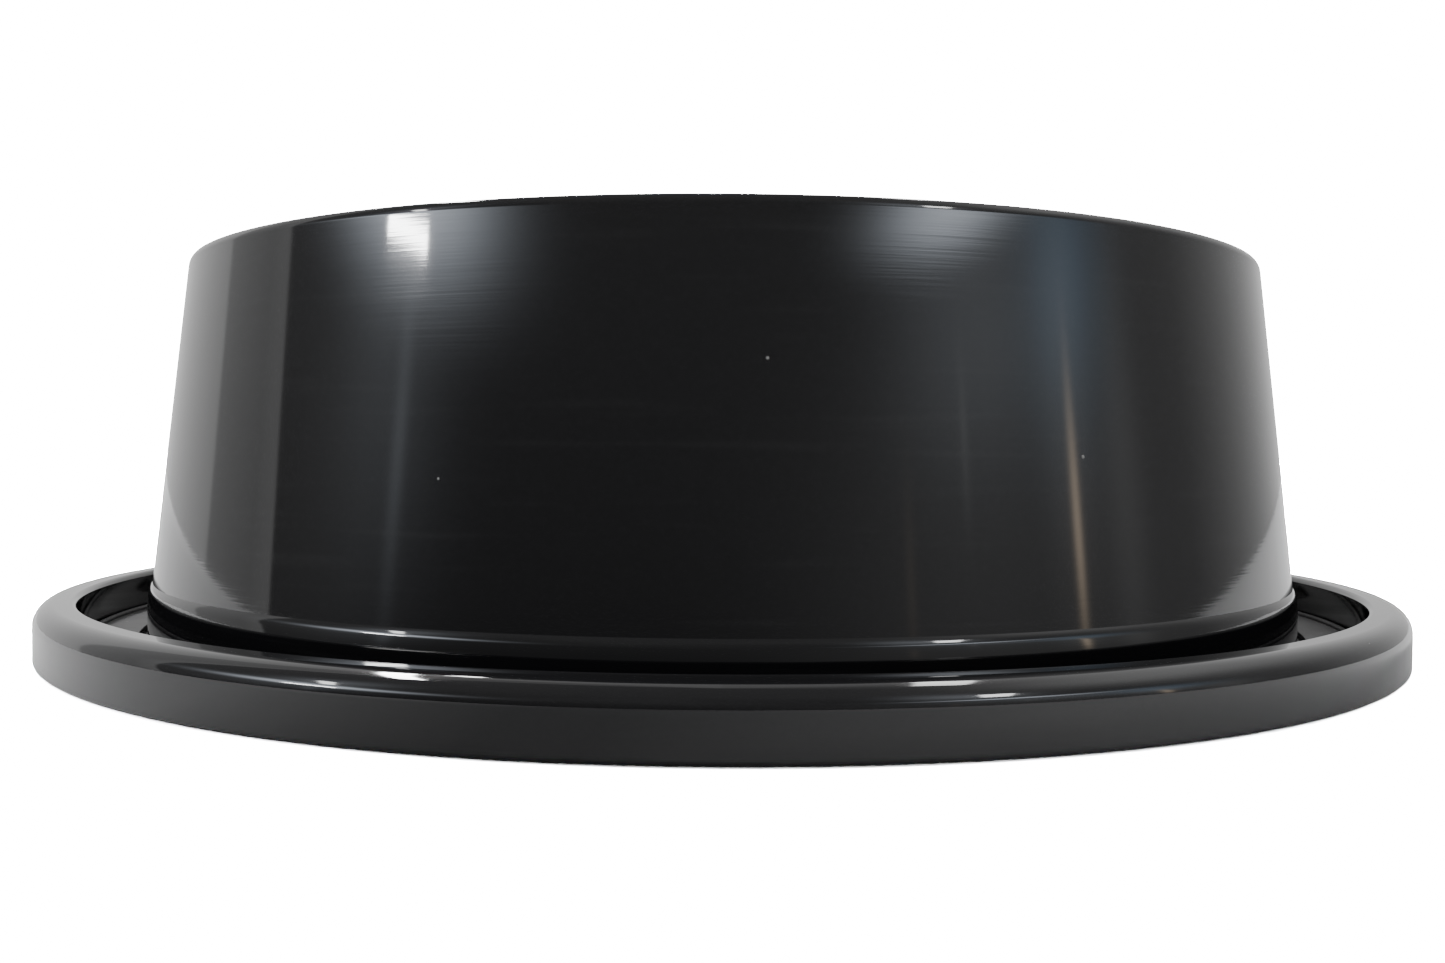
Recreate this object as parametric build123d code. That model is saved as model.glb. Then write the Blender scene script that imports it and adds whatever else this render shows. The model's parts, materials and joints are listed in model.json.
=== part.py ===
"""Splash-guard collar of a kitchen garbage disposal, in millimetres.

The collar stands on its flange, upside down compared with how it hangs under a sink.
The origin is the centre of the flange's bottom face and +Z points up along the sleeve,
which is the way waste travels. Waste enters at z = 0 and pushes through the rubber flaps.
"""
from build123d import *
from math import asin, cos, degrees, radians, sin, tan
import os

os.makedirs("parts", exist_ok=True)

# Driving sizes of the collar moulding
REGISTER_R = 84.15              # widest part of the foot, fits a 6-5/8 in (168.3 mm) throat
RIM_R = 97.75                   # outside of the rim
COLLAR_H = 53.1                 # floor to the sleeve's end
TAPER = 6.2                     # degrees the sleeve's cone leans in

# Rim, web and channel
RIM_H = 7.4
RIM_WALL = 5.25
RIM_TOP_ROUND = 2.6
RIM_INNER_ROUND = 0.8
FOOT_ROUND = 0.6
WEB_T = 1.2
RIM_INNER_R = RIM_R - RIM_WALL

# Register: a short straight wall that curves in below it, and above it in two stretches
REGISTER_LOW = 3.4
REGISTER_HIGH = 5.6
FOOT_CURVE = 8.0                # radius of the curve below the wall
SHOULDER_Z = 8.2                # where the slow curve gives way to the quick one
SHOULDER_LEAN = 10              # degrees the wall leans in there
CREASE_LEAN = 38                # degrees it leans in where it meets the cone
CONE_BOTTOM = 9.2

# Sleeve
SLEEVE_WALL = 3.0
END_CURVE_H = 1.0               # the cone's last stretch curves in a little
END_LEAN = 45                   # degrees it leans in at the end
END_EDGE_ROUND = 0.2


def curve_radius(height, low_lean, high_lean):
    """Radius of the arc that takes a wall from one lean to another over a height."""
    return height / (sin(radians(high_lean)) - sin(radians(low_lean)))


def curve_inset(radius, low_lean, high_lean):
    """How far such an arc comes in between its two ends."""
    return radius * (cos(radians(low_lean)) - cos(radians(high_lean)))


FOOT_LEAN = -degrees(asin((REGISTER_LOW - WEB_T) / FOOT_CURVE))
FOOT_R = REGISTER_R - curve_inset(FOOT_CURVE, 0, FOOT_LEAN)
SLOW_CURVE = curve_radius(SHOULDER_Z - REGISTER_HIGH, 0, SHOULDER_LEAN)
SHOULDER_R = REGISTER_R - curve_inset(SLOW_CURVE, 0, SHOULDER_LEAN)
QUICK_CURVE = curve_radius(CONE_BOTTOM - SHOULDER_Z, SHOULDER_LEAN, CREASE_LEAN)
CONE_R = SHOULDER_R - curve_inset(QUICK_CURVE, SHOULDER_LEAN, CREASE_LEAN)
CONE_TOP = COLLAR_H - END_CURVE_H
CONE_TOP_R = CONE_R - (CONE_TOP - CONE_BOTTOM) * tan(radians(TAPER))
END_CURVE = curve_radius(END_CURVE_H, TAPER, END_LEAN)
END_R = CONE_TOP_R - curve_inset(END_CURVE, TAPER, END_LEAN)
MOUTH_R = CONE_R - SLEEVE_WALL

# Ledge inside the sleeve's end, which the baffle is clamped against
LEDGE_T = 5.0
LEDGE_R = 66.0
LEDGE_ROUND = 0.8
LEDGE_Z = COLLAR_H - LEDGE_T
LEDGE_WALL_R = CONE_TOP_R - SLEEVE_WALL + 0.5

# Rubber baffle: one sheet cut into flaps
RUBBER_T = 3.0
BAFFLE_R = 75.2
FLAPS = 12
FLAP_PITCH = 360 / FLAPS
HALF_PITCH = radians(FLAP_PITCH / 2)
HINGE_R = 60.0                  # distance of each bending line from the centre
TIP_R = 12.0                    # round hole left between the flaps' tips
SLIT_W = 1.2
ROOT_GAP = 0.3                  # free gap round each flap's rounded root
TEAR_STOP_R = 2.0
BAFFLE_Z = LEDGE_Z - RUBBER_T
HINGE_Z = BAFFLE_Z + RUBBER_T / 2

# Clamp ring, screws and inserts
CLAMP_T = 3.0
CLAMP_INNER_R = 66.5
CLAMP_EDGE = 0.4
CLAMP_Z = BAFFLE_Z - CLAMP_T
SCREWS = 8
SCREW_CIRCLE_R = 71.0
SCREW_R = 1.5
SCREW_HOLE_R = 1.7
SCREW_TIP_Z = 51.2
HEAD_R = 2.85
HEAD_H = 1.65
HEAD_ROUND = 0.9
SOCKET_ACROSS = 2.0
SOCKET_DEPTH = 1.0
INSERT_R = 2.3
INSERT_BORE_R = 1.55
INSERT_L = 4.0
INSERT_HOLE_R = 2.32
INSERT_HOLE_DEPTH = 4.2

# Seals
SEAL_T = 0.6
SEAL_INNER_CLEAR = 1.2
SEAL_OUTER_CLEAR = 0.25
SEAL_BEAD_W = 0.9
SEAL_BEAD_H = 1.1
CORD_R = 0.9
CORD_CIRCLE_R = 95.0
GROOVE_HALF_W = 0.95
GROOVE_DEPTH = 1.85


def turned(points):
    """Solid of revolution about Z from (radius, height) corner points."""
    return revolve(Plane.XZ * make_face(Polyline(*points, close=True)), Axis.Z)


def tube(outer_r, inner_r, low_z, high_z):
    """Plain ring between two radii and two heights."""
    corners = [(inner_r, low_z), (outer_r, low_z), (outer_r, high_z), (inner_r, high_z)]
    return turned(corners)


def curve_in(start_r, start_z, radius, low_lean, high_lean):
    """Arc of a turned wall that starts at a point and changes its lean on the way up."""
    centre_r = start_r - radius * cos(radians(low_lean))
    centre_z = start_z - radius * sin(radians(low_lean))
    return CenterArc((centre_r, centre_z), radius, low_lean, high_lean - low_lean)


def circles_at(solid, radius, height):
    """Circular edges of a turned solid at one radius and height."""
    near = 0.01
    found = []
    for edge in solid.edges().filter_by(GeomType.CIRCLE):
        centre = edge.arc_center
        if abs(edge.radius - radius) < near and abs(centre.Z - height) < near:
            found.append(edge)
    return found


def around(count, radius, start=0.0):
    """Places spaced evenly on a circle about Z."""
    return [Rot(0, 0, start + 360 / count * i) * Pos(radius, 0, 0) for i in range(count)]


def make_sleeve():
    """Tapered sleeve with the bead-shaped register at its foot and the ledge at its end."""
    inside = Polyline(
        (END_R, COLLAR_H),
        (LEDGE_R, COLLAR_H),
        (LEDGE_R, LEDGE_Z),
        (LEDGE_WALL_R, LEDGE_Z),
        (MOUTH_R, WEB_T),
        (FOOT_R, WEB_T),
    )
    outline = [
        *inside.edges(),
        curve_in(FOOT_R, WEB_T, FOOT_CURVE, FOOT_LEAN, 0),
        Line((REGISTER_R, REGISTER_LOW), (REGISTER_R, REGISTER_HIGH)),
        curve_in(REGISTER_R, REGISTER_HIGH, SLOW_CURVE, 0, SHOULDER_LEAN),
        curve_in(SHOULDER_R, SHOULDER_Z, QUICK_CURVE, SHOULDER_LEAN, CREASE_LEAN),
        Line((CONE_R, CONE_BOTTOM), (CONE_TOP_R, CONE_TOP)),
        curve_in(CONE_TOP_R, CONE_TOP, END_CURVE, TAPER, END_LEAN),
    ]
    body = revolve(Plane.XZ * make_face(outline), Axis.Z)
    body = fillet(circles_at(body, END_R, COLLAR_H), END_EDGE_ROUND)
    body = fillet(circles_at(body, LEDGE_R, COLLAR_H), LEDGE_ROUND)
    for place in around(SCREWS, SCREW_CIRCLE_R):
        hole = Cylinder(INSERT_HOLE_R, INSERT_HOLE_DEPTH, align=(Align.CENTER, Align.CENTER, Align.MIN))
        body -= place * Pos(0, 0, LEDGE_Z) * hole
    return body


def make_flange_plate():
    """Thin web that joins the sleeve's foot to the rim."""
    plate = tube(RIM_INNER_R, MOUTH_R, 0, WEB_T)
    return fillet(circles_at(plate, MOUTH_R, 0), FOOT_ROUND)


def make_rim_ring():
    """Thick upstanding rim with a seal groove in its underside."""
    rim = tube(RIM_R, RIM_INNER_R, 0, RIM_H)
    rim = fillet(circles_at(rim, RIM_R, RIM_H), RIM_TOP_ROUND)
    rim = fillet(circles_at(rim, RIM_INNER_R, RIM_H), RIM_INNER_ROUND)
    rim = fillet(circles_at(rim, RIM_R, 0), FOOT_ROUND)
    groove_outer = CORD_CIRCLE_R + GROOVE_HALF_W
    groove_inner = CORD_CIRCLE_R - GROOVE_HALF_W
    return rim - tube(groove_outer, groove_inner, 0, GROOVE_DEPTH)


def make_channel_seal():
    """Flat rubber ring on the channel floor, with a fine bead along its outer edge."""
    inner_r = REGISTER_R + SEAL_INNER_CLEAR
    outer_r = RIM_INNER_R - SEAL_OUTER_CLEAR
    top_z = WEB_T + SEAL_T
    bead_z = WEB_T + SEAL_BEAD_H
    ring = turned([
        (inner_r, WEB_T),
        (outer_r, WEB_T),
        (outer_r, bead_z),
        (outer_r - SEAL_BEAD_W, bead_z),
        (outer_r - SEAL_BEAD_W, top_z),
        (inner_r, top_z),
    ])
    bead_round = SEAL_BEAD_W * 0.4
    ring = fillet(circles_at(ring, outer_r, bead_z), bead_round)
    return fillet(circles_at(ring, outer_r - SEAL_BEAD_W, bead_z), bead_round)


def make_sink_seal():
    """Round rubber cord lying in the rim's groove, flush with the bottom face."""
    return Pos(0, 0, CORD_R) * Torus(CORD_CIRCLE_R, CORD_R)


def tear_stops():
    """Round holes that end the slits, as one set of cutting cylinders."""
    corner_r = HINGE_R / cos(HALF_PITCH)
    cutter = Cylinder(TEAR_STOP_R, RUBBER_T * 2)
    places = around(FLAPS, corner_r, FLAP_PITCH / 2)
    return [place * Pos(0, 0, HINGE_Z) * cutter for place in places]


def make_baffle_ring():
    """Outer ring of the rubber baffle, open inside the flaps' bending lines."""
    disc = Pos(0, 0, HINGE_Z) * Cylinder(BAFFLE_R, RUBBER_T)
    flat_r = HINGE_R + RUBBER_T / 2 + ROOT_GAP
    opening = RegularPolygon(flat_r, FLAPS, major_radius=False, rotation=FLAP_PITCH / 2)
    disc -= Pos(0, 0, BAFFLE_Z) * extrude(opening, RUBBER_T)
    for cutter in tear_stops():
        disc -= cutter
    for place in around(SCREWS, SCREW_CIRCLE_R):
        disc -= place * Pos(0, 0, HINGE_Z) * Cylinder(SCREW_HOLE_R, RUBBER_T * 2)
    return disc


def make_flap(index):
    """One wedge-shaped flap with a rounded root on its bending line."""
    slit_shift = SLIT_W / 2 / cos(HALF_PITCH)
    root_y = HINGE_R * tan(HALF_PITCH) - slit_shift
    apex_x = slit_shift / tan(HALF_PITCH)
    outline = make_face(Polyline((apex_x, 0), (HINGE_R, -root_y), (HINGE_R, root_y), close=True))
    wedge = Pos(0, 0, BAFFLE_Z) * extrude(outline, RUBBER_T)
    root = Pos(HINGE_R, 0, HINGE_Z) * Rot(90, 0, 0) * Cylinder(RUBBER_T / 2, root_y * 2)
    flap = Rot(0, 0, FLAP_PITCH * index) * (wedge + root)
    flap -= Pos(0, 0, HINGE_Z) * Cylinder(TIP_R, RUBBER_T * 2)
    for cutter in tear_stops():
        flap -= cutter
    return flap


def make_retaining_ring():
    """Flat ring that clamps the baffle against the ledge."""
    ring = tube(BAFFLE_R, CLAMP_INNER_R, CLAMP_Z, BAFFLE_Z)
    ring = chamfer(circles_at(ring, BAFFLE_R, CLAMP_Z), CLAMP_EDGE)
    ring = chamfer(circles_at(ring, CLAMP_INNER_R, CLAMP_Z), CLAMP_EDGE)
    for place in around(SCREWS, SCREW_CIRCLE_R):
        ring -= place * Pos(0, 0, CLAMP_Z + CLAMP_T / 2) * Cylinder(SCREW_HOLE_R, CLAMP_T * 2)
    return ring


def make_retaining_screws():
    """Button-head screws with hexagon sockets, heads under the clamp ring."""
    head_z = CLAMP_Z - HEAD_H
    head = Pos(0, 0, CLAMP_Z - HEAD_H / 2) * Cylinder(HEAD_R, HEAD_H)
    head = fillet(circles_at(head, HEAD_R, head_z), HEAD_ROUND)
    shank_l = SCREW_TIP_Z - CLAMP_Z
    shank = Pos(0, 0, CLAMP_Z + shank_l / 2) * Cylinder(SCREW_R, shank_l)
    socket = RegularPolygon(SOCKET_ACROSS / 2, 6, major_radius=False)
    screw = head + shank - Pos(0, 0, head_z) * extrude(socket, SOCKET_DEPTH)
    return Compound(children=[place * screw for place in around(SCREWS, SCREW_CIRCLE_R)])


def make_screw_inserts():
    """Threaded sleeves pressed into the ledge."""
    insert = tube(INSERT_R, INSERT_BORE_R, LEDGE_Z, LEDGE_Z + INSERT_L)
    return Compound(children=[place * insert for place in around(SCREWS, SCREW_CIRCLE_R)])


nodes = {
    "sleeve": make_sleeve(),
    "flange_plate": make_flange_plate(),
    "rim_ring": make_rim_ring(),
    "channel_seal": make_channel_seal(),
    "sink_seal": make_sink_seal(),
    "baffle_ring": make_baffle_ring(),
    "retaining_ring": make_retaining_ring(),
    "retaining_screws": make_retaining_screws(),
    "screw_inserts": make_screw_inserts(),
}
for number in range(FLAPS):
    nodes[f"flap_{number + 1:02d}"] = make_flap(number)

for name, shape in nodes.items():
    export_step(shape, f"parts/{name}.step")
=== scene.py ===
# %% [markdown]
# # A splash-guard collar in black plastic and rubber
# This collar sits in the throat of a kitchen garbage disposal. It stands here on its
# flange, the way it would be put down on a bench. Its tapered sleeve, thin web and
# upstanding rim are one glossy moulding. Inside, a rubber sheet is cut into flaps that
# give way to food waste and spring back. Every size below is in metres.

# %% Load the frame that the mechanical model gives
import json
from math import asin, atan2, cos, degrees, hypot, pi, radians, sin, tan

import bpy
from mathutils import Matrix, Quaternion, Vector


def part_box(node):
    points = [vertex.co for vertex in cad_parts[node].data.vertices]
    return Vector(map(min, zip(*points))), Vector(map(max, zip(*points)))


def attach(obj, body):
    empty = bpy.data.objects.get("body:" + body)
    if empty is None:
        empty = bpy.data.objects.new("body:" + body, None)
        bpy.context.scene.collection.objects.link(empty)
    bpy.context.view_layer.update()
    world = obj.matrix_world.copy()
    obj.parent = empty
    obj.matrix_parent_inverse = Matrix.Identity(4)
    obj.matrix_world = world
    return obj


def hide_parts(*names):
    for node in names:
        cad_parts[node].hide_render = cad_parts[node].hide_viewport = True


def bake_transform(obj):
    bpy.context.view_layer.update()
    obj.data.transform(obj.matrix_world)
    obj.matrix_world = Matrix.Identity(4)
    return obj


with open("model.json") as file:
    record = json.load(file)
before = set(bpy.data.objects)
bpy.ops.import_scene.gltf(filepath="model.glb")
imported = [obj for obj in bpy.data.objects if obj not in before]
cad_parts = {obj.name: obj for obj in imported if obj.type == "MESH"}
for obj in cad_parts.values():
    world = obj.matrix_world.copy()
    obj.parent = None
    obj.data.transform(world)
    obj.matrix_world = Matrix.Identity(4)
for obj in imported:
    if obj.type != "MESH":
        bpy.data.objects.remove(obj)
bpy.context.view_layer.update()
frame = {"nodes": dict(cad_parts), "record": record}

MM = 0.001
record = frame["record"]
throat_register = next(mount for mount in record["mounts"] if mount["name"] == "throat_register")
register_r = throat_register["dims"]["r_mm"] * MM
rim_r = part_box("rim_ring")[1][0]
rim_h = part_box("rim_ring")[1][2]
collar_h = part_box("sleeve")[1][2]
web_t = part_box("flange_plate")[1][2]
rim_inner_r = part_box("flange_plate")[1][0]
print(f"rim radius {rim_r / MM:.2f} mm, register radius {register_r / MM:.2f} mm")
print(f"height {collar_h / MM:.1f} mm")

# %% [markdown]
# ## The camera
# The camera stands low and close, just above the height of the flange, so that the sleeve's
# top face is hidden and its near edge bows upwards. All its distances are multiples of
# the rim's radius. It leans a third of a degree, as a hand-levelled camera does.

# %% Camera
CAMERA_BACK = 2.171
CAMERA_UP = 0.281
CAMERA_SIDE = -0.0011
CAMERA_PITCH_DOWN = 0.0236
CAMERA_LEAN = 0.006
LENS_MM = 33.27
SENSOR_MM = 36

bpy.ops.object.camera_add(location=(CAMERA_SIDE * rim_r, -CAMERA_BACK * rim_r, CAMERA_UP * rim_r))
camera = bpy.context.object
camera.name = "camera"
camera.rotation_mode = "QUATERNION"
level_view = Quaternion((1, 0, 0), pi / 2 - CAMERA_PITCH_DOWN)
camera.rotation_quaternion = level_view @ Quaternion((0, 0, 1), CAMERA_LEAN)
camera.data.lens = LENS_MM
camera.data.sensor_width = SENSOR_MM
camera.data.clip_start = 0.01
bpy.context.scene.camera = camera
print(f"camera {CAMERA_BACK * rim_r / MM:.0f} mm from the axis")

# %% [markdown]
# ## Helpers for pieces turned round an axis
# Most pieces here are rings. On a lathe each would be one profile swept round the axis.
# The same idea works with a ring of points: extrude it upwards or sideways, scale it to
# the next radius, and go on corner by corner until the profile closes. Corners are then
# rounded by bevelling their loops, so that every edge catches light as a moulded one does.

# %% Selecting and editing helpers
NEAR = 0.02 * MM
TURN_STEPS = 256


def deselect_all():
    """Leaves nothing selected, because operators act on all that is selected."""
    if bpy.context.object and bpy.context.object.mode != "OBJECT":
        bpy.ops.object.mode_set(mode="OBJECT")
    bpy.ops.object.select_all(action="DESELECT")


def take(piece):
    """Makes one piece the only selected and the active one."""
    deselect_all()
    piece.select_set(True)
    bpy.context.view_layer.objects.active = piece


def edit(piece, select="DESELECT"):
    """Opens a piece in edit mode with all or none of it selected."""
    take(piece)
    bpy.ops.object.mode_set(mode="EDIT")
    bpy.ops.mesh.select_mode(type="VERT")
    bpy.ops.mesh.select_all(action=select)


def leave_edit():
    """Goes back to object mode."""
    bpy.ops.object.mode_set(mode="OBJECT")


def select_edges(piece, wanted):
    """Selects, in edit mode, the edges whose two end points both pass a test."""
    bpy.ops.mesh.select_all(action="DESELECT")
    bpy.ops.mesh.select_mode(type="EDGE")
    leave_edit()
    points = piece.data.vertices
    for edge in piece.data.edges:
        edge.select = all(wanted(points[i].co) for i in edge.vertices)
    bpy.ops.object.mode_set(mode="EDIT")


def fix_place(piece):
    """Moves a piece's place, turn and scale into its mesh."""
    take(piece)
    bpy.ops.object.transform_apply(location=True, rotation=True, scale=True)


def use_modifier(piece, kind, **settings):
    """Adds a modifier, sets it and applies it."""
    take(piece)
    bpy.ops.object.modifier_add(type=kind)
    modifier = piece.modifiers[-1]
    for name, value in settings.items():
        setattr(modifier, name, value)
    bpy.ops.object.modifier_apply(modifier=modifier.name)


def smooth(piece, angle=35):
    """Smooth shading with crisp edges, and large faces leading their neighbours' normals."""
    take(piece)
    bpy.ops.object.shade_smooth_by_angle(angle=radians(angle))
    use_modifier(piece, "WEIGHTED_NORMAL", keep_sharp=True, weight=100)


def cut_away(piece, cutter):
    """Takes a cutter's volume out of a piece and removes the cutter."""
    use_modifier(piece, "BOOLEAN", object=cutter, operation="DIFFERENCE", solver="EXACT")
    bpy.data.objects.remove(cutter)


def copies_round(piece, count, name):
    """Copies of a piece, each with its own mesh, turned to equal places round the axis."""
    made = []
    for i in range(count):
        copy = piece.copy()
        copy.data = piece.data.copy()
        copy.name = f"{name}_{i + 1:02d}"
        bpy.context.collection.objects.link(copy)
        copy.rotation_euler[2] = 2 * pi / count * i
        fix_place(copy)
        made.append(copy)
    bpy.data.objects.remove(piece)
    return made


def joined(pieces, name):
    """Several pieces made into one object."""
    deselect_all()
    for piece in pieces:
        piece.select_set(True)
    bpy.context.view_layer.objects.active = pieces[0]
    bpy.ops.object.join()
    pieces[0].name = name
    return pieces[0]


# %% Turning helper
BEVEL_STEP = 0.4 * MM


def at_corner(radius, height):
    """A test for points at one radius and height."""
    return lambda co: abs(hypot(co.x, co.y) - radius) < NEAR and abs(co.z - height) < NEAR


def turned_piece(name, corners, bevel_steps=6):
    """A closed ring whose profile runs through (radius, height, rounding) corners."""
    radius, height, _ = corners[0]
    deselect_all()
    bpy.ops.mesh.primitive_circle_add(vertices=TURN_STEPS, radius=radius, location=(0, 0, height))
    piece = bpy.context.object
    piece.name = name
    fix_place(piece)
    edit(piece, "SELECT")
    for next_radius, next_height, _ in corners[1:]:
        rise = (0, 0, next_height - height)
        bpy.ops.mesh.extrude_region_move(TRANSFORM_OT_translate={"value": rise})
        grow = next_radius / radius
        bpy.ops.transform.resize(value=(grow, grow, 1))
        radius = next_radius
        height = next_height
    bpy.ops.mesh.select_all(action="DESELECT")
    bpy.ops.mesh.select_mode(type="EDGE")
    bpy.ops.mesh.select_non_manifold()
    bpy.ops.mesh.bridge_edge_loops()
    bpy.ops.mesh.select_all(action="SELECT")
    bpy.ops.mesh.normals_make_consistent(inside=False)
    for corner_r, corner_z, rounding in corners:
        if rounding:
            steps = bevel_steps + round(rounding / BEVEL_STEP)
            select_edges(piece, at_corner(corner_r, corner_z))
            bpy.ops.mesh.bevel(offset=rounding, offset_type="OFFSET", segments=steps, profile=0.5)
    leave_edit()
    print(f"{name}: {len(piece.data.polygons)} faces")
    return piece


# %% [markdown]
# ## The moulded collar
# Sleeve, web and rim come out of one mould, so they are one piece here. The sleeve leans
# in by a few degrees to release from the mould. At its foot the register, a rounded bead,
# fits the throat. It leans in more and more towards its top, and the crease above it is the
# thin bright line round the foot. The sleeve's last millimetre curves in the same way, and
# its end turns inwards as a ledge for the rubber. The rim's top edges are well rounded.

# %% The moulding's outer wall, from the web up to the sleeve's end
TAPER = 6.2
REGISTER_LOW = 3.4 * MM
REGISTER_HIGH = 5.6 * MM
FOOT_CURVE = 8.0 * MM
SHOULDER_Z = 8.2 * MM
SHOULDER_LEAN = 10
CREASE_LEAN = 38
CONE_BOTTOM = 9.2 * MM
END_CURVE_H = 1.0 * MM
END_LEAN = 45


def bend_wall(wall, height, low_lean, high_lean, steps):
    """Adds an arc to a turned wall, which takes it from one lean to another over a height."""
    start_r, start_z = wall[-1]
    radius = height / (sin(radians(high_lean)) - sin(radians(low_lean)))
    for i in range(1, steps + 1):
        lean = radians(low_lean + (high_lean - low_lean) * i / steps)
        inset = radius * (cos(radians(low_lean)) - cos(lean))
        rise = radius * (sin(lean) - sin(radians(low_lean)))
        wall.append((start_r - inset, start_z + rise))


foot_lean = -degrees(asin((REGISTER_LOW - web_t) / FOOT_CURVE))
foot_r = register_r - FOOT_CURVE * (1 - cos(radians(foot_lean)))
wall = [(foot_r, web_t)]
bend_wall(wall, REGISTER_LOW - web_t, foot_lean, 0, steps=5)
wall.append((register_r, REGISTER_HIGH))
bend_wall(wall, SHOULDER_Z - REGISTER_HIGH, 0, SHOULDER_LEAN, steps=6)
bend_wall(wall, CONE_BOTTOM - SHOULDER_Z, SHOULDER_LEAN, CREASE_LEAN, steps=6)
cone_r = wall[-1][0]
cone_top = collar_h - END_CURVE_H
cone_top_r = cone_r - (cone_top - CONE_BOTTOM) * tan(radians(TAPER))
wall.append((cone_top_r, cone_top))
bend_wall(wall, END_CURVE_H, TAPER, END_LEAN, steps=5)
print(f"outer wall of {len(wall)} points, {cone_r / MM:.2f} mm at the crease")

# %% Collar moulding
SLEEVE_WALL = 3.0 * MM
LEDGE_T = 5.0 * MM
LEDGE_R = 66.0 * MM
GROOVE_MID_R = 95.0 * MM
GROOVE_HALF_W = 0.95 * MM
GROOVE_DEPTH = 1.85 * MM
RIM_TOP_ROUND = 2.6 * MM
RIM_INNER_ROUND = 0.8 * MM
FOOT_ROUND = 0.6 * MM
LEDGE_ROUND = 0.8 * MM
LEDGE_RELIEF = 0.5 * MM
FINE_ROUND = 0.15 * MM
CREASE_ANGLE = 17

mouth_r = cone_r - SLEEVE_WALL
ledge_z = collar_h - LEDGE_T
ledge_wall_r = cone_top_r - SLEEVE_WALL + LEDGE_RELIEF
end_r = wall.pop()[0]

collar = turned_piece("collar_moulding", [
    (mouth_r, 0, FOOT_ROUND),
    (ledge_wall_r, ledge_z, 0),
    (LEDGE_R, ledge_z, FINE_ROUND),
    (LEDGE_R, collar_h, LEDGE_ROUND),
    (end_r, collar_h, FINE_ROUND),
    *((radius, height, 0) for radius, height in reversed(wall)),
    (rim_inner_r, web_t, 0),
    (rim_inner_r, rim_h, RIM_INNER_ROUND),
    (rim_r, rim_h, RIM_TOP_ROUND),
    (rim_r, 0, FOOT_ROUND),
    (GROOVE_MID_R + GROOVE_HALF_W, 0, FINE_ROUND),
    (GROOVE_MID_R + GROOVE_HALF_W, GROOVE_DEPTH, 0),
    (GROOVE_MID_R - GROOVE_HALF_W, GROOVE_DEPTH, 0),
    (GROOVE_MID_R - GROOVE_HALF_W, 0, FINE_ROUND),
])

# %% [markdown]
# The ledge holds eight brass inserts. Their blind holes are drilled with one cutter, copied
# round the axis. They can't be seen on the finished part, but the moulding has them.

# %% Insert holes in the ledge
SCREWS = 8
SCREW_CIRCLE_R = 71.0 * MM
INSERT_HOLE_R = 2.32 * MM
INSERT_HOLE_DEPTH = 4.2 * MM
HOLE_STEPS = 32


def ring_of_drills(radius, low_z, high_z):
    """Cutting cylinders at the screws' places, as one object."""
    depth = high_z - low_z
    middle = (low_z + high_z) / 2
    deselect_all()
    bpy.ops.mesh.primitive_cylinder_add(
        vertices=HOLE_STEPS, radius=radius, depth=depth, location=(SCREW_CIRCLE_R, 0, middle))
    drill = bpy.context.object
    fix_place(drill)
    return joined(copies_round(drill, SCREWS, "drill"), "drills")


cut_away(collar, ring_of_drills(INSERT_HOLE_R, ledge_z - MM, ledge_z + INSERT_HOLE_DEPTH))
smooth(collar, CREASE_ANGLE)
print(f"collar moulding: {len(collar.data.polygons)} faces after drilling")

# %% [markdown]
# ## Seals and clamp ring
# A thin rubber ring lies on the channel floor, with a fine bead along its outer edge that
# seals against the rim. A rubber cord fills the groove under the rim. The steel clamp ring
# is the only flat-ground piece: its edges are broken with a narrow chamfer.

# %% Channel seal, sink seal and clamp ring
SEAL_T = 0.6 * MM
SEAL_CLEAR = 1.2 * MM
BEAD_W = 0.9 * MM
BEAD_H = 1.1 * MM
BEAD_ROUND = 0.36 * MM
CORD_HALF = 0.9 * MM
CORD_ROUND = 0.7 * MM
SCREW_HOLE_R = 1.7 * MM
CLAMP_EDGE = 0.4 * MM
CLAMP_STEP = 0.5 * MM

seal_outer_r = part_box("channel_seal")[1][0]
seal_inner_r = register_r + SEAL_CLEAR
bead_inner_r = seal_outer_r - BEAD_W
channel_seal = turned_piece("channel_seal_ring", [
    (seal_inner_r, web_t, 0),
    (seal_inner_r, web_t + SEAL_T, FINE_ROUND),
    (bead_inner_r, web_t + SEAL_T, 0),
    (bead_inner_r, web_t + BEAD_H, BEAD_ROUND),
    (seal_outer_r, web_t + BEAD_H, BEAD_ROUND),
    (seal_outer_r, web_t, 0),
], bevel_steps=3)
smooth(channel_seal, 60)

sink_seal = turned_piece("sink_seal_cord", [
    (GROOVE_MID_R - CORD_HALF, 0, CORD_ROUND),
    (GROOVE_MID_R - CORD_HALF, 2 * CORD_HALF, CORD_ROUND),
    (GROOVE_MID_R + CORD_HALF, 2 * CORD_HALF, CORD_ROUND),
    (GROOVE_MID_R + CORD_HALF, 0, CORD_ROUND),
], bevel_steps=4)
smooth(sink_seal, 60)

clamp_low, clamp_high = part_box("retaining_ring")
clamp_outer_r = clamp_high[0]
clamp_inner_r = LEDGE_R + CLAMP_STEP
clamp_ring = turned_piece("clamp_ring", [
    (clamp_inner_r, clamp_low[2], CLAMP_EDGE),
    (clamp_inner_r, clamp_high[2], FINE_ROUND),
    (clamp_outer_r, clamp_high[2], FINE_ROUND),
    (clamp_outer_r, clamp_low[2], CLAMP_EDGE),
], bevel_steps=1)
cut_away(clamp_ring, ring_of_drills(SCREW_HOLE_R, clamp_low[2] - MM, clamp_high[2] + MM))
smooth(clamp_ring, 30)

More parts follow.
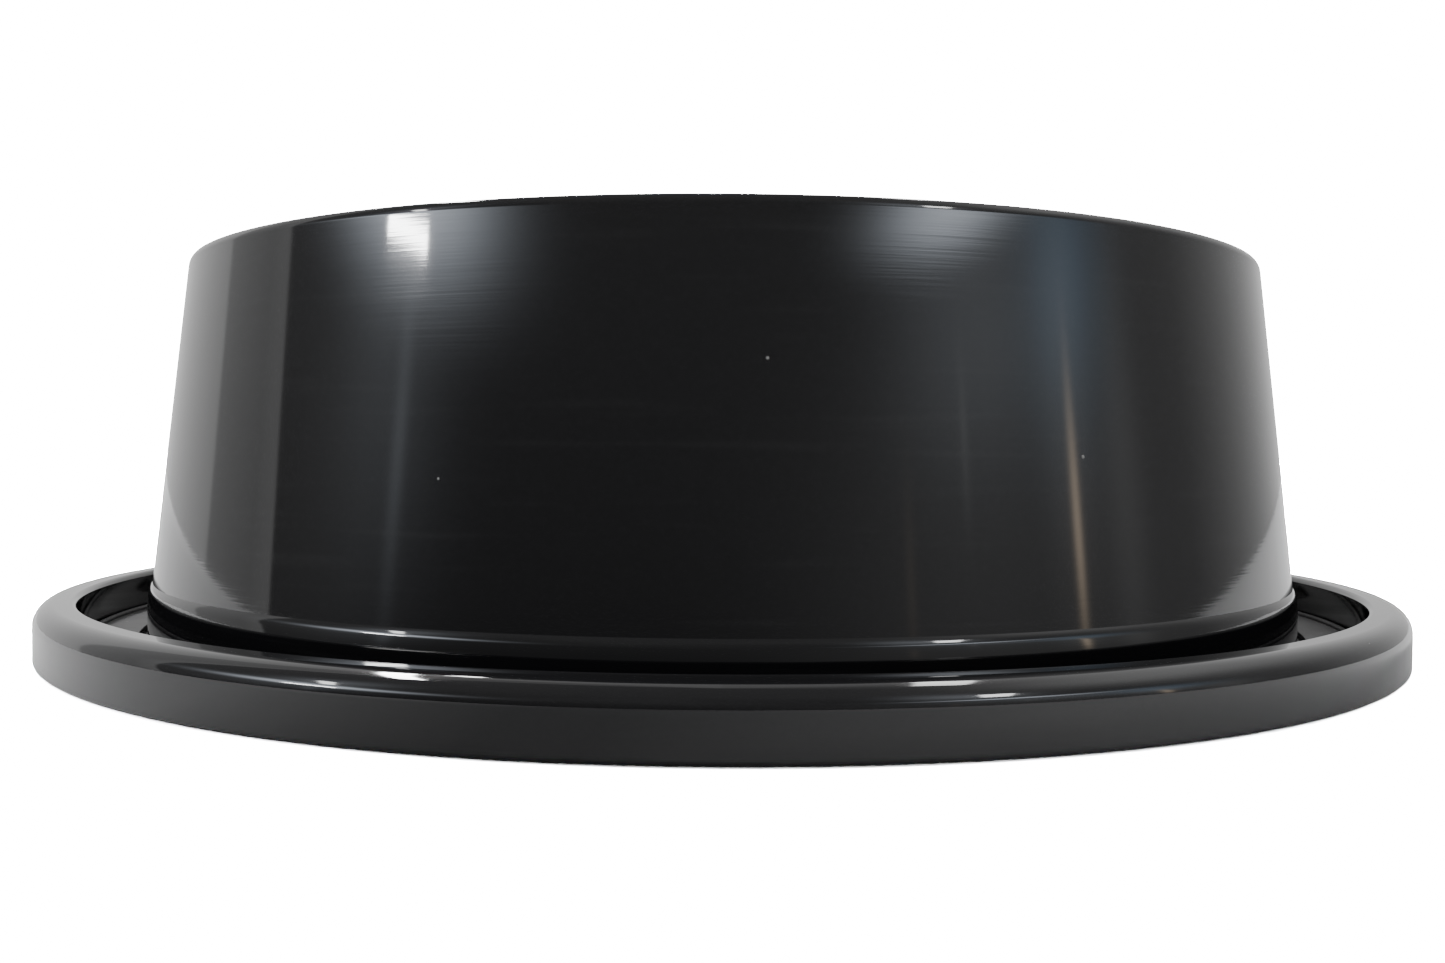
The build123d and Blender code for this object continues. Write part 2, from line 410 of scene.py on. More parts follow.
# %% [markdown]
# ## Button-head screws
# Each screw is a low domed head with a hexagon socket, and a shank that reaches into its
# insert. One screw is made from a cylinder: its lower rim is bevelled into the dome, the
# socket is cut with a six-sided cutter, and the shank is joined on. The rest are copies.

# %% Clamp screws
HEAD_R = 2.85 * MM
HEAD_H = 1.65 * MM
HEAD_DOME = 1.1 * MM
SHANK_R = 1.5 * MM
SHANK_POINT = 0.4 * MM
SHANK_OVERLAP = 0.2 * MM
SOCKET_CORNER_R = 1.155 * MM
SOCKET_DEPTH = 1.0 * MM

screw_low, screw_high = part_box("retaining_screws")
head_z = screw_low[2]
shank_tip_z = screw_high[2]


def upright_cylinder(name, sides, radius, low_z, high_z):
    """A cylinder at the first screw's place between two heights."""
    deselect_all()
    middle = (low_z + high_z) / 2
    bpy.ops.mesh.primitive_cylinder_add(
        vertices=sides, radius=radius, depth=high_z - low_z, location=(SCREW_CIRCLE_R, 0, middle))
    piece = bpy.context.object
    piece.name = name
    fix_place(piece)
    return piece


def round_rim(piece, height, offset, steps):
    """Bevels the rim of a cylinder at one height."""
    edit(piece)
    select_edges(piece, lambda co: abs(co.z - height) < NEAR)
    bpy.ops.mesh.bevel(offset=offset, offset_type="OFFSET", segments=steps, profile=0.5)
    leave_edit()


head = upright_cylinder("screw_head", 48, HEAD_R, head_z, head_z + HEAD_H)
round_rim(head, head_z, HEAD_DOME, 6)
cut_away(head, upright_cylinder("socket", 6, SOCKET_CORNER_R, head_z - MM, head_z + SOCKET_DEPTH))
shank = upright_cylinder("shank", HOLE_STEPS, SHANK_R, head_z + HEAD_H - SHANK_OVERLAP, shank_tip_z)
round_rim(shank, shank_tip_z, SHANK_POINT, 1)
use_modifier(head, "BOOLEAN", object=shank, operation="UNION", solver="EXACT")
bpy.data.objects.remove(shank)
clamp_screws = joined(copies_round(head, SCREWS, "screw"), "clamp_screws")
smooth(clamp_screws, 40)
print(f"clamp screws: {len(clamp_screws.data.polygons)} faces")

# %% [markdown]
# ## The rubber sheet
# The splash baffle is cut from one sheet. Its outer band is held under the clamp ring, and
# twelve flaps reach in to a small round hole. Each slit ends in a round hole, so that the
# rubber doesn't tear. A flap bends at its root: it gets many cross lines there, so that
# the bend is a smooth curve and not a fold.

# %% Rubber band held by the clamp
FLAPS = 12
HALF_PITCH = pi / FLAPS
HINGE_R = 60.0 * MM
TIP_R = 12.0 * MM
SLIT_HALF = 0.6 * MM
TEAR_STOP_R = 2.0 * MM
SEAM_R = 66.8 * MM
EDGE_SOFT = 0.35 * MM

band_low, band_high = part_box("baffle_ring")
sheet_low = band_low[2]
sheet_high = band_high[2]
sheet_mid = (sheet_low + sheet_high) / 2
rubber_t = sheet_high - sheet_low

rubber_band = turned_piece("rubber_band", [
    (HINGE_R, sheet_low, 0),
    (HINGE_R, sheet_high, 0),
    (band_high[0], sheet_high, EDGE_SOFT),
    (band_high[0], sheet_low, EDGE_SOFT),
], bevel_steps=2)
deselect_all()
bpy.ops.mesh.primitive_cylinder_add(
    vertices=FLAPS, radius=SEAM_R / cos(HALF_PITCH), depth=2 * rubber_t, location=(0, 0, sheet_mid))
many_sided_cutter = bpy.context.object
fix_place(many_sided_cutter)
corner = many_sided_cutter.data.vertices[0].co
many_sided_cutter.rotation_euler[2] = HALF_PITCH - atan2(corner.y, corner.x)
fix_place(many_sided_cutter)
cut_away(rubber_band, many_sided_cutter)
cut_away(rubber_band, ring_of_drills(SCREW_HOLE_R, sheet_low - MM, sheet_high + MM))
smooth(rubber_band, 30)

# %% One flap
BEND_FROM = 61.8 * MM
BEND_TO = 54.0 * MM
BEND_LINES = 16
STRAIGHT_LINES = 6


def cut_across(piece, point, normal, drop_outside=False):
    """Cuts a piece along a plane, and can drop the side that the normal points to."""
    edit(piece, "SELECT")
    bpy.ops.mesh.bisect(plane_co=point, plane_no=normal, use_fill=drop_outside, clear_outer=drop_outside)
    leave_edit()


deselect_all()
block_size = (SEAM_R, 2 * SEAM_R * tan(HALF_PITCH) + 4 * MM, rubber_t)
bpy.ops.mesh.primitive_cube_add(size=1, location=(SEAM_R / 2, 0, sheet_mid), scale=block_size)
flap = bpy.context.object
fix_place(flap)
for side in (1, -1):
    slit_normal = (-sin(HALF_PITCH), side * cos(HALF_PITCH), 0)
    slit_point = Vector(slit_normal) * -SLIT_HALF
    cut_across(flap, slit_point, slit_normal, drop_outside=True)

deselect_all()
bpy.ops.mesh.primitive_cylinder_add(vertices=96, radius=TIP_R, depth=2 * rubber_t, location=(0, 0, sheet_mid))
cut_away(flap, bpy.context.object)
use_modifier(flap, "BEVEL", width=EDGE_SOFT, segments=2, limit_method="ANGLE", angle_limit=radians(50))
print(f"flap outline: {len(flap.data.vertices)} points")

# %% Cross lines for the bend, then the tear stops
for i in range(BEND_LINES + 1):
    bend_x = BEND_TO + (BEND_FROM - BEND_TO) * i / BEND_LINES
    cut_across(flap, (bend_x, 0, 0), (1, 0, 0))
for i in range(1, STRAIGHT_LINES):
    straight_x = TIP_R + (BEND_TO - TIP_R) * i / STRAIGHT_LINES
    cut_across(flap, (straight_x, 0, 0), (1, 0, 0))

stops = []
for side in (1, -1):
    deselect_all()
    bpy.ops.mesh.primitive_cylinder_add(
        vertices=40, radius=TEAR_STOP_R, depth=2 * rubber_t,
        location=(HINGE_R, side * HINGE_R * tan(HALF_PITCH), sheet_mid))
    stops.append(bpy.context.object)
    fix_place(stops[-1])
cut_away(flap, joined(stops, "tear_stops"))
smooth(flap, 30)
flaps = copies_round(flap, FLAPS, "rubber_flap")
print(f"{len(flaps)} flaps of {len(flaps[0].data.vertices)} points")

# %% [markdown]
# ## Surface effects shared by several materials
# Three small node groups carry the fine detail. Each is built once and used with its own
# values in each material. Turning marks are very fine lines round the axis: noise that
# changes slowly round the circle and fast across it. Dust is a sparse scatter of round
# specks. Handling clouds are soft patches where a surface is a little duller.

# %% Node helpers
def new_group(name, inputs, outputs):
    """An empty shader node group with number inputs and number outputs."""
    group = bpy.data.node_groups.new(name, "ShaderNodeTree")
    for label, value in inputs.items():
        socket = group.interface.new_socket(name=label, in_out="INPUT", socket_type="NodeSocketFloat")
        socket.default_value = value
    for label in outputs:
        group.interface.new_socket(name=label, in_out="OUTPUT", socket_type="NodeSocketFloat")
    return group


def node(tree, kind, **settings):
    """A new node with its settings made."""
    made = tree.nodes.new(kind)
    for name, value in settings.items():
        setattr(made, name, value)
    return made


def calculate(tree, operation, first, second=None, third=None):
    """A Math node; each operand is a socket or a number. Returns its output."""
    made = node(tree, "ShaderNodeMath", operation=operation)
    for place, operand in enumerate((first, second, third)):
        if operand is None:
            continue
        if isinstance(operand, (int, float)):
            made.inputs[place].default_value = operand
        else:
            tree.links.new(operand, made.inputs[place])
    return made.outputs[0]


def remap(tree, value, low, high, new_low, new_high):
    """A clamped Map Range node. Returns its output."""
    made = node(tree, "ShaderNodeMapRange", clamp=True)
    tree.links.new(value, made.inputs["Value"])
    for label, number in (("From Min", low), ("From Max", high), ("To Min", new_low), ("To Max", new_high)):
        if isinstance(number, (int, float)):
            made.inputs[label].default_value = number
        else:
            tree.links.new(number, made.inputs[label])
    return made.outputs["Result"]


def object_place(tree):
    """The X, Y and Z outputs of the object's own coordinates."""
    place = node(tree, "ShaderNodeTexCoord")
    parts = node(tree, "ShaderNodeSeparateXYZ")
    tree.links.new(place.outputs["Object"], parts.inputs[0])
    return parts.outputs["X"], parts.outputs["Y"], parts.outputs["Z"]


def combined(tree, x, y, z):
    """A vector from three sockets."""
    made = node(tree, "ShaderNodeCombineXYZ")
    for place, part in enumerate((x, y, z)):
        tree.links.new(part, made.inputs[place])
    return made.outputs[0]


# %% Turning marks
def build_turning_marks():
    """Lines round the axis. Height is for bump; Mask picks out the strongest lines."""
    group = new_group("turning_marks", {"Lines per metre": 2500.0, "Breaks round": 6.0, "Sharpness": 0.5},
                      ["Height", "Mask"])
    start = node(group, "NodeGroupInput")
    end = node(group, "NodeGroupOutput")
    x, y, z = object_place(group)
    squares = calculate(group, "ADD", calculate(group, "MULTIPLY", x, x), calculate(group, "MULTIPLY", y, y))
    radius = calculate(group, "MAXIMUM", calculate(group, "SQRT", squares), 1e-5)
    breaks = start.outputs["Breaks round"]
    along_x = calculate(group, "MULTIPLY", calculate(group, "DIVIDE", x, radius), breaks)
    along_y = calculate(group, "MULTIPLY", calculate(group, "DIVIDE", y, radius), breaks)
    profile = calculate(group, "SUBTRACT", z, radius)
    across = calculate(group, "MULTIPLY", profile, start.outputs["Lines per metre"])
    noise = node(group, "ShaderNodeTexNoise", noise_dimensions="3D")
    group.links.new(combined(group, along_x, along_y, across), noise.inputs["Vector"])
    noise.inputs["Scale"].default_value = 1.0
    noise.inputs["Detail"].default_value = 2.0
    group.links.new(noise.outputs["Fac"], end.inputs["Height"])
    low = calculate(group, "ADD", start.outputs["Sharpness"], 0.05)
    group.links.new(remap(group, noise.outputs["Fac"], low, 0.8, 0.0, 1.0), end.inputs["Mask"])
    return group


# %% Dust specks
def build_dust():
    """Sparse round specks. Share is how many cells hold one, Size is a speck's part of a cell."""
    group = new_group("dust_specks", {"Cells per metre": 220.0, "Share": 0.2, "Size": 0.06}, ["Mask"])
    start = node(group, "NodeGroupInput")
    end = node(group, "NodeGroupOutput")
    place = node(group, "ShaderNodeTexCoord")
    cells = node(group, "ShaderNodeTexVoronoi", feature="F1", voronoi_dimensions="3D")
    group.links.new(place.outputs["Object"], cells.inputs["Vector"])
    group.links.new(start.outputs["Cells per metre"], cells.inputs["Scale"])
    chance = node(group, "ShaderNodeSeparateColor")
    group.links.new(cells.outputs["Color"], chance.inputs[0])
    chosen = calculate(group, "LESS_THAN", chance.outputs["Red"], start.outputs["Share"])
    variety = calculate(group, "ADD", chance.outputs["Green"], 0.4)
    grown = calculate(group, "MULTIPLY", start.outputs["Size"], variety)
    edge = calculate(group, "MULTIPLY", grown, 0.5)
    speck = remap(group, cells.outputs["Distance"], edge, grown, 1.0, 0.0)
    group.links.new(calculate(group, "MULTIPLY", speck, chosen), end.inputs["Mask"])
    return group


# %% Handling clouds
def build_clouds():
    """Soft patches, from 0 to 1, where hands and cloths have been."""
    group = new_group("handling_clouds", {"Patches per metre": 25.0, "Contrast": 0.25}, ["Mask"])
    start = node(group, "NodeGroupInput")
    end = node(group, "NodeGroupOutput")
    place = node(group, "ShaderNodeTexCoord")
    noise = node(group, "ShaderNodeTexNoise", noise_dimensions="3D")
    group.links.new(place.outputs["Object"], noise.inputs["Vector"])
    group.links.new(start.outputs["Patches per metre"], noise.inputs["Scale"])
    noise.inputs["Detail"].default_value = 3.0
    low = calculate(group, "SUBTRACT", 0.5, start.outputs["Contrast"])
    high = calculate(group, "ADD", 0.5, start.outputs["Contrast"])
    group.links.new(remap(group, noise.outputs["Fac"], low, high, 0.0, 1.0), end.inputs["Mask"])
    return group


turning_marks = build_turning_marks()
dust_specks = build_dust()
handling_clouds = build_clouds()
print("effects:", [group.name for group in (turning_marks, dust_specks, handling_clouds)])


# %% [markdown]
# ## Materials
# A finish is a Principled surface whose colour, roughness and bump are fed by the effects
# above. A helper places an effect with its values, and another adds bump layers in turn.

# %% Material helpers
def new_material(name, color, roughness, metallic=0.0):
    """A material with a Principled surface. Returns material, node tree and surface."""
    material = bpy.data.materials.new(name)
    material.use_nodes = True
    tree = material.node_tree
    surface = tree.nodes["Principled BSDF"]
    surface.inputs["Base Color"].default_value = (*color, 1)
    surface.inputs["Roughness"].default_value = roughness
    surface.inputs["Metallic"].default_value = metallic
    return material, tree, surface


def effect(tree, group, **values):
    """Places a shared effect with this material's values. Underscores stand for spaces."""
    made = node(tree, "ShaderNodeGroup", node_tree=group)
    for label, value in values.items():
        made.inputs[label.replace("_", " ")].default_value = value
    return made


def tint(tree, surface, mask, color):
    """Mixes a colour over the base colour where a mask is 1."""
    mix = node(tree, "ShaderNodeMix", data_type="RGBA")
    base = surface.inputs["Base Color"]
    if base.is_linked:
        tree.links.new(base.links[0].from_socket, mix.inputs["A"])
    else:
        mix.inputs["A"].default_value = base.default_value
    mix.inputs["B"].default_value = (*color, 1)
    tree.links.new(mask, mix.inputs["Factor"])
    tree.links.new(mix.outputs["Result"], base)


def bump(tree, surface, height, strength, depth):
    """Adds one bump layer on top of any that the surface has."""
    layer = node(tree, "ShaderNodeBump")
    layer.inputs["Strength"].default_value = strength
    layer.inputs["Distance"].default_value = depth
    tree.links.new(height, layer.inputs["Height"])
    normal = surface.inputs["Normal"]
    if normal.is_linked:
        tree.links.new(normal.links[0].from_socket, layer.inputs["Normal"])
    tree.links.new(layer.outputs["Normal"], normal)


# %% [markdown]
# ### Gloss black plastic
# The moulding is polished while it spins, so its marks run round the axis. They are too
# fine to see one by one, but they pull highlights into faint vertical streaks. Two sizes of
# marks are used, with a few pale specks of dust and patches that are slightly duller.

# %% Gloss black plastic
POLISH = 0.045
MARK_DEPTH = 3e-6
MARK_GREY = (0.12, 0.12, 0.12)
DUST_GREY = (0.5, 0.5, 0.48)


def share(tree, mask, amount):
    """A part of a mask."""
    return calculate(tree, "MULTIPLY", mask, amount)


def gloss_black():
    """Polished black plastic with fine marks round the axis."""
    material, tree, surface = new_material("gloss_black_plastic", (0.005, 0.005, 0.0056), POLISH)
    surface.inputs["IOR"].default_value = 1.5
    fine = effect(tree, turning_marks, Lines_per_metre=3200.0, Breaks_round=5.0, Sharpness=0.52)
    broad = effect(tree, turning_marks, Lines_per_metre=650.0, Breaks_round=2.5, Sharpness=0.55)
    clouds = effect(tree, handling_clouds, Patches_per_metre=30.0, Contrast=0.22)
    dust = effect(tree, dust_specks, Cells_per_metre=240.0, Share=0.08, Size=0.055)
    dull = share(tree, clouds.outputs["Mask"], 0.025)
    lined = share(tree, broad.outputs["Mask"], 0.025)
    dusty = share(tree, dust.outputs["Mask"], 0.4)
    worn = calculate(tree, "ADD", calculate(tree, "ADD", dull, lined), dusty)
    tree.links.new(calculate(tree, "ADD", worn, POLISH), surface.inputs["Roughness"])
    tint(tree, surface, share(tree, broad.outputs["Mask"], 0.04), MARK_GREY)
    tint(tree, surface, share(tree, dust.outputs["Mask"], 0.35), DUST_GREY)
    bump(tree, surface, fine.outputs["Height"], 0.5, MARK_DEPTH)
    bump(tree, surface, broad.outputs["Height"], 0.5, MARK_DEPTH)
    return material


# %% [markdown]
# ### Rubber
# Both rubbers are carbon-black, with a fine moulded grain and a pale bloom that comes to
# the surface in patches. The seals are duller and a little greyer than the flaps.

# %% Rubber
BLOOM_GREY = (0.16, 0.16, 0.155)
RUBBER_DUST = (0.45, 0.45, 0.43)
GRAIN_DEPTH = 6e-5


def black_rubber(name, shade, roughness, bloom):
    """Matt black rubber with grain, bloom patches and dust."""
    material, tree, surface = new_material(name, (shade, shade, shade * 1.03), roughness)
    surface.inputs["Specular IOR Level"].default_value = 0.45
    clouds = effect(tree, handling_clouds, Patches_per_metre=60.0, Contrast=0.2)
    dust = effect(tree, dust_specks, Cells_per_metre=420.0, Share=0.3, Size=0.07)
    tint(tree, surface, share(tree, clouds.outputs["Mask"], bloom), BLOOM_GREY)
    tint(tree, surface, share(tree, dust.outputs["Mask"], 0.3), RUBBER_DUST)
    worn = remap(tree, clouds.outputs["Mask"], 0.0, 1.0, roughness - 0.07, roughness + 0.1)
    tree.links.new(worn, surface.inputs["Roughness"])
    place = node(tree, "ShaderNodeTexCoord")
    grain = node(tree, "ShaderNodeTexNoise", noise_dimensions="3D")
    grain.inputs["Scale"].default_value = 2600.0
    grain.inputs["Detail"].default_value = 3.0
    tree.links.new(place.outputs["Object"], grain.inputs["Vector"])
    bump(tree, surface, grain.outputs["Fac"], 0.5, GRAIN_DEPTH)
    return material


# %% [markdown]
# ### Metals
# The clamp ring is turned stainless steel, so it shows the same kind of marks round the
# axis, only deeper. The screws are bright and smooth, and the inserts are knurled brass.

# %% Metals
KNURL_DEPTH = 1e-4


def turned_metal(name, color, roughness, lines, depth):
    """Metal with turning marks round the axis and soft duller patches."""
    material, tree, surface = new_material(name, color, roughness, metallic=1.0)
    marks = effect(tree, turning_marks, Lines_per_metre=lines, Breaks_round=9.0, Sharpness=0.5)
    clouds = effect(tree, handling_clouds, Patches_per_metre=90.0, Contrast=0.25)
    tint(tree, surface, share(tree, marks.outputs["Mask"], 0.35), tuple(part * 0.6 for part in color))
    worn = remap(tree, clouds.outputs["Mask"], 0.0, 1.0, roughness - 0.05, roughness + 0.12)
    tree.links.new(worn, surface.inputs["Roughness"])
    bump(tree, surface, marks.outputs["Height"], 0.6, depth)
    return material


def knurled_brass():
    """Brass with a fine crossed pattern pressed into it."""
    material, tree, surface = new_material("knurled_brass", (0.72, 0.52, 0.24), 0.32, metallic=1.0)
    clouds = effect(tree, handling_clouds, Patches_per_metre=300.0, Contrast=0.25)
    tree.links.new(remap(tree, clouds.outputs["Mask"], 0.0, 1.0, 0.28, 0.45), surface.inputs["Roughness"])
    place = node(tree, "ShaderNodeTexCoord")
    pits = node(tree, "ShaderNodeTexVoronoi", feature="F1", voronoi_dimensions="3D")
    pits.inputs["Scale"].default_value = 1800.0
    tree.links.new(place.outputs["Object"], pits.inputs["Vector"])
    bump(tree, surface, pits.outputs["Distance"], 0.7, KNURL_DEPTH)
    return material


plastic = gloss_black()
seal_rubber = black_rubber("seal_rubber", 0.016, 0.6, bloom=0.05)
flap_rubber = black_rubber("flap_rubber", 0.02, 0.5, bloom=0.08)
clamp_steel = turned_metal("turned_steel", (0.56, 0.56, 0.55), 0.3, lines=1800.0, depth=3e-5)
screw_steel = turned_metal("bright_steel", (0.62, 0.62, 0.62), 0.22, lines=5000.0, depth=1e-5)
insert_brass = knurled_brass()


# %% Give the pieces their finish, attach all but the flaps and inserts to the collar's body, and hide the CAD nodes they stand for
def finish_piece(piece, material, body, slot, *nodes):
    """Material, ride and replaced nodes of one new piece; slot is not used."""
    piece.data.materials.clear()
    piece.data.materials.append(material)
    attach(piece, body)
    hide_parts(*nodes)


finish_piece(collar, plastic, "collar", "collar_plastic", "sleeve", "flange_plate", "rim_ring")
finish_piece(channel_seal, seal_rubber, "collar", "seal_rubber", "channel_seal")
finish_piece(sink_seal, seal_rubber, "collar", "seal_rubber", "sink_seal")
finish_piece(clamp_ring, clamp_steel, "collar", "clamp_steel", "retaining_ring")
finish_piece(clamp_screws, screw_steel, "collar", "screw_steel", "retaining_screws")
finish_piece(rubber_band, flap_rubber, "collar", "baffle_rubber", "baffle_ring")
for number, flap in enumerate(flaps):
    flap.data.materials.clear()
    flap.data.materials.append(flap_rubber)
    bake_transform(flap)
    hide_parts(f"flap_{number + 1:02d}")

inserts = frame["nodes"]["screw_inserts"]
for material_slot in inserts.material_slots:
    material_slot.material = insert_brass
print("pieces finished")

# %% [markdown]
# ## Floor and light
# A wide white floor and a white surround make a plain studio. Black gloss shows its
# surroundings more than itself, so what stands round the collar matters: a dim room on
# the camera's side, a pale card at the left, windows at both sides. The floor and the
# surround are seen as pure white, but light the collar no more than a soft daylit room. For
# all rays but the camera's, the floor's colour is a painted shadow in front of the collar,
# where whoever looks at it would stand, and painted light, paler, towards the windows.

# %% White floor
FLOOR_HALF = 6.0
FLOOR_DROP = 0.2 * MM
# The floor's grey in front is a painted shadow; the two amounts added towards the sides are painted light.
FLOOR_GREY_IN_PAINTED_SHADOW = 0.27
LEFT_PAINTED_LIGHT = 0.36
RIGHT_PAINTED_LIGHT = 0.37
SEEN_WHITE = 60.0

deselect_all()
bpy.ops.mesh.primitive_plane_add(size=2 * FLOOR_HALF, location=(0, 0, -FLOOR_DROP))
floor = bpy.context.object
floor.name = "floor"
floor_white, floor_tree, floor_surface = new_material("floor_white", (FLOOR_GREY_IN_PAINTED_SHADOW,) * 3, 0.6)
floor_surface.inputs["Specular IOR Level"].default_value = 0.0
# Painted shadow and painted light: for all but camera rays the floor's grey rises from the front towards both
# sides.
floor_x, floor_y, _ = object_place(floor_tree)
floor_bearing = calculate(floor_tree, "ARCTAN2", floor_x, calculate(floor_tree, "MULTIPLY", floor_y, -1.0))
left = remap(floor_tree, floor_bearing, radians(-15), radians(-40), FLOOR_GREY_IN_PAINTED_SHADOW, FLOOR_GREY_IN_PAINTED_SHADOW + LEFT_PAINTED_LIGHT)
right = remap(floor_tree, floor_bearing, radians(-8), radians(25), 0.0, RIGHT_PAINTED_LIGHT)
painted_floor_shading = calculate(floor_tree, "ADD", left, right)
seen = node(floor_tree, "ShaderNodeLightPath")
shade = remap(floor_tree, seen.outputs["Is Camera Ray"], 0.0, 1.0, painted_floor_shading, SEEN_WHITE)
floor_tree.links.new(shade, floor_surface.inputs["Base Color"])
floor.data.materials.append(floor_white)

# %% [markdown]
# The surround is a function of direction, in two angles: the bearing, in degrees from the
# camera's side and positive to the right, and the rise above the horizon. A soft patch is a
# bright spot that fades both ways. Radiance is in units where white paper is about 1.

# %% Surround
world = bpy.data.worlds.new("studio")
bpy.context.scene.world = world
world.use_nodes = True
sky = world.node_tree
sky.nodes.clear()
direction = node(sky, "ShaderNodeTexCoord")
parts = node(sky, "ShaderNodeSeparateXYZ")
sky.links.new(direction.outputs["Generated"], parts.inputs[0])
toward_camera = calculate(sky, "MULTIPLY", parts.outputs["Y"], -1.0)
bearing = calculate(sky, "MULTIPLY", calculate(sky, "ARCTAN2", parts.outputs["X"], toward_camera), 180 / pi)
rise = calculate(sky, "MULTIPLY", calculate(sky, "ARCSINE", parts.outputs["Z"]), 180 / pi)


def fading(value, middle, spread):
    """Squared distance from a middle, measured in spreads."""
    offset = calculate(sky, "MULTIPLY_ADD", value, 1 / spread, -middle / spread)
    return calculate(sky, "MULTIPLY", offset, offset)


def light_up(strength, color=(1, 1, 1)):
    """A background shader of one colour with a varying strength. Returns its output."""
    made = node(sky, "ShaderNodeBackground")
    made.inputs["Color"].default_value = (*color, 1)
    sky.links.new(strength, made.inputs["Strength"])
    return made.outputs[0]


def soft_patch(middle, height, spread, spread_up, radiance, color=(1, 1, 1)):
    """A patch of light that fades out from its middle. Returns a background shader."""
    distance = calculate(sky, "ADD", fading(bearing, middle, spread), fading(rise, height, spread_up))
    fade = calculate(sky, "EXPONENT", calculate(sky, "MULTIPLY", distance, -1.0))
    return light_up(calculate(sky, "MULTIPLY", fade, radiance), color)


def total(*values):
    """The sum of several sockets."""
    added = values[0]
    for value in values[1:]:
        added = calculate(sky, "ADD", added, value)
    return added


# %% Base light of the room, and the two cards at the left
CARD_TILT = 0.33

room = remap(sky, rise, 0.0, 25.0, 0.14, 0.30)
ceiling = remap(sky, rise, 25.0, 50.0, 0.0, 0.1)
right_side = remap(sky, bearing, 60.0, 88.0, 0.0, 0.15)
right_back = remap(sky, bearing, 98.0, 145.0, 0.0, 0.6)
card_line = calculate(sky, "MULTIPLY_ADD", rise, CARD_TILT, bearing)
card = remap(sky, card_line, -90.4, -91.0, 0.0, 0.48)
card_edge = remap(sky, card_line, -97.0, -91.0, 0.0, 0.22)
card_edge = calculate(sky, "MULTIPLY", card_edge, calculate(sky, "LESS_THAN", card_line, -90.8))
second_card = remap(sky, card_line, -113.2, -114.2, 0.0, 0.42)
shaders = [light_up(total(room, ceiling, right_side, right_back, card, card_edge, second_card))]

# %% Soft patches: windows with their halos, and a warm strip
COOL = (0.35, 0.65, 1.0)
DAYLIGHT = (0.88, 0.95, 1.05)
WARM = (1.0, 0.78, 0.56)
shaders += [
    soft_patch(-64.5, 21, spread=15.8, spread_up=3.6, radiance=10, color=DAYLIGHT),
    soft_patch(-66, 14, spread=12, spread_up=9, radiance=0.55, color=DAYLIGHT),
    soft_patch(-63, 10, spread=1.6, spread_up=6, radiance=0.6, color=DAYLIGHT),
    soft_patch(-68, 34, spread=10, spread_up=9, radiance=1.4, color=DAYLIGHT),
    soft_patch(-78, 8, spread=16, spread_up=12, radiance=0.14),
    soft_patch(45, 21.2, spread=13, spread_up=1.5, radiance=8, color=DAYLIGHT),
    soft_patch(50, 16, spread=17, spread_up=6, radiance=0.8, color=DAYLIGHT),
    soft_patch(48, 4, spread=33, spread_up=14, radiance=0.38),
    soft_patch(40, 34, spread=10, spread_up=9, radiance=1.8, color=DAYLIGHT),
    soft_patch(68, 12, spread=6, spread_up=8, radiance=0.45),
    soft_patch(69, 17, spread=9, spread_up=6, radiance=0.9, color=COOL),
    soft_patch(68.3, 6.5, spread=0.9, spread_up=5, radiance=3.6, color=WARM),
    soft_patch(34, 6, spread=0.8, spread_up=4, radiance=0.25, color=WARM),
    soft_patch(45.5, 11.5, spread=0.7, spread_up=3, radiance=0.4),
    soft_patch(80, 8, spread=5, spread_up=10, radiance=0.3),
    soft_patch(95, 50, spread=40, spread_up=16, radiance=1.1),
]
mixed = shaders[0]
for shader in shaders[1:]:
    add = node(sky, "ShaderNodeAddShader")
    sky.links.new(mixed, add.inputs[0])
    sky.links.new(shader, add.inputs[1])
    mixed = add.outputs[0]

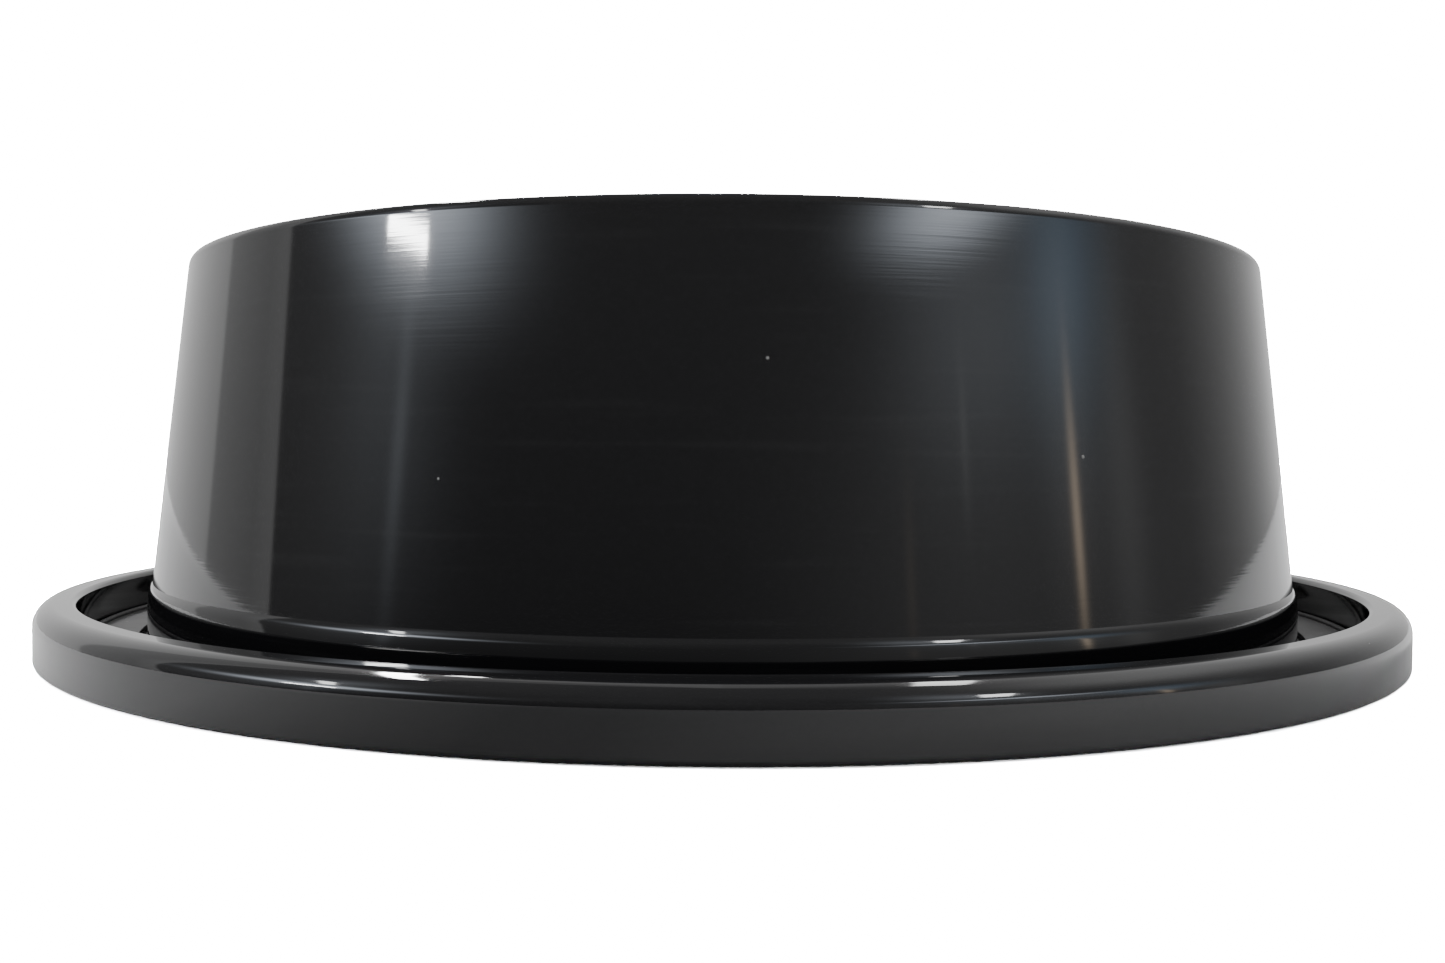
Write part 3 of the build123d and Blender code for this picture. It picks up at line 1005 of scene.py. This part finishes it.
# %% The surround is pure white where the camera sees it
seen = node(sky, "ShaderNodeLightPath")
white = node(sky, "ShaderNodeBackground")
white.inputs["Strength"].default_value = SEEN_WHITE / 2
choose = node(sky, "ShaderNodeMixShader")
sky.links.new(seen.outputs["Is Camera Ray"], choose.inputs[0])
sky.links.new(mixed, choose.inputs[1])
sky.links.new(white.outputs[0], choose.inputs[2])
sky_out = node(sky, "ShaderNodeOutputWorld")
sky.links.new(choose.outputs[0], sky_out.inputs["Surface"])
print(f"surround of {len(shaders)} parts")


# %% [markdown]
# The brightest lights are lamps of their own. The key window stands far off at the left.
# Ceiling strips lie flat overhead: they draw the fine bright marks on the sleeve's end, on
# the shoulder of the register and on the rim. Their places are given for a ceiling one unit
# high, and then scaled up to the room.

# %% Lamps
CEILING = 10.0
KEY_AWAY = 20.0
KEY_BEARING = -64.8
KEY_RISE = 18.6


def lamp(name, place, turn, length, width, radiance):
    """A flat rectangular lamp that shines along its own -Z. Radiance is as for the surround."""
    bpy.ops.object.light_add(type="AREA", location=place)
    made = bpy.context.object
    made.name = name
    made.rotation_mode = "QUATERNION"
    made.rotation_quaternion = turn
    made.data.shape = "RECTANGLE"
    made.data.size = length
    made.data.size_y = width
    made.data.energy = radiance * pi * length * width
    made.visible_camera = False


def ceiling_strip(name, start, end, width, radiance):
    """A lamp lying flat on the ceiling between two places."""
    first, last = (Vector((x, y, 1)) * CEILING for x, y in (start, end))
    along = last - first
    turn = Quaternion((0, 0, 1), atan2(along.y, along.x))
    lamp(name, (first + last) / 2, turn, along.length, width * CEILING, radiance)


key_side = radians(KEY_BEARING)
key_rise = radians(KEY_RISE)
away = Vector((sin(key_side) * cos(key_rise), -cos(key_side) * cos(key_rise), sin(key_rise)))
key_place = away * KEY_AWAY + Vector((0, 0, collar_h))
lamp("key_window", key_place, away.to_track_quat("Z", "Y"), length=3.1, width=0.35, radiance=160)
ceiling_strip("left_strip", (-1.8, -0.86), (-1.35, -0.50), width=0.09, radiance=30)
ceiling_strip("left_far_strip", (-0.58, 0.05), (-0.49, 0.60), width=0.07, radiance=170)
ceiling_strip("right_strip", (1.25, -1.3), (0.95, -0.87), width=0.15, radiance=30)
ceiling_strip("right_far_strip", (0.36, 0.08), (0.32, 0.50), width=0.1, radiance=20)
print("lamps made")
